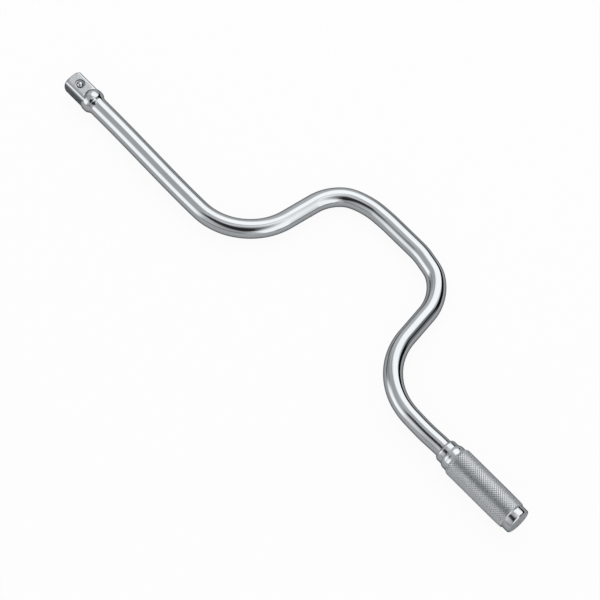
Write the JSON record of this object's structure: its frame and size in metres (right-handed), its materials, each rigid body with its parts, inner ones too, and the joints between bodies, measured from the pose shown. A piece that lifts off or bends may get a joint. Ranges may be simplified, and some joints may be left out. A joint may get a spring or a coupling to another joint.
{
  "type": "speed brace",
  "caption": "Cranked hand brace with a square drive and ball detent at one end and a free-turning knurled grip at the other, for spinning sockets quickly.",
  "frame": {"origin": "centre of the square drive's tip face", "axes": "+X along the turning axis from the drive towards the grip, +Y towards the throw of the crank, +Z square to the crank's plane on the detent ball's side"},
  "size_m": [0.4091, 0.0986, 0.0198],
  "materials": {
    "bright_chrome": "bright polished chrome plate",
    "ball_steel": "polished hardened steel",
    "spring_steel": "plain drawn spring wire",
    "collar_chrome": "turned and chrome plated",
    "satin_chrome": "satin chrome plate over a diamond knurl",
    "cap_chrome": "turned and chrome plated",
    "zinc_steel": "zinc plated",
    "black_steel": "black phosphated spring steel"
  },
  "bodies": {
    "brace": {"brace_bar": "bright_chrome", "stop_collar": "collar_chrome", "detent_spring": "spring_steel", "thrust_washer": "zinc_steel", "retaining_ring": "black_steel"},
    "detent": {"detent_ball": "ball_steel"},
    "grip": {"grip_sleeve": "satin_chrome", "end_cap": "cap_chrome"}
  },
  "joints": [
    {"name": "grip_spin", "type": "hinge", "parent": "brace", "child": "grip", "pos_m": [0.376, 0, 0], "axis": [1, 0, 0], "continuous": true},
    {"name": "detent_press", "type": "slide", "parent": "brace", "child": "detent", "axis": [0, 0, 1], "range_m": [-0.0009, 0], "stiffness_N_per_m": 3000, "springref_m": 0.001, "deforming": ["detent_spring"]}
  ]
}
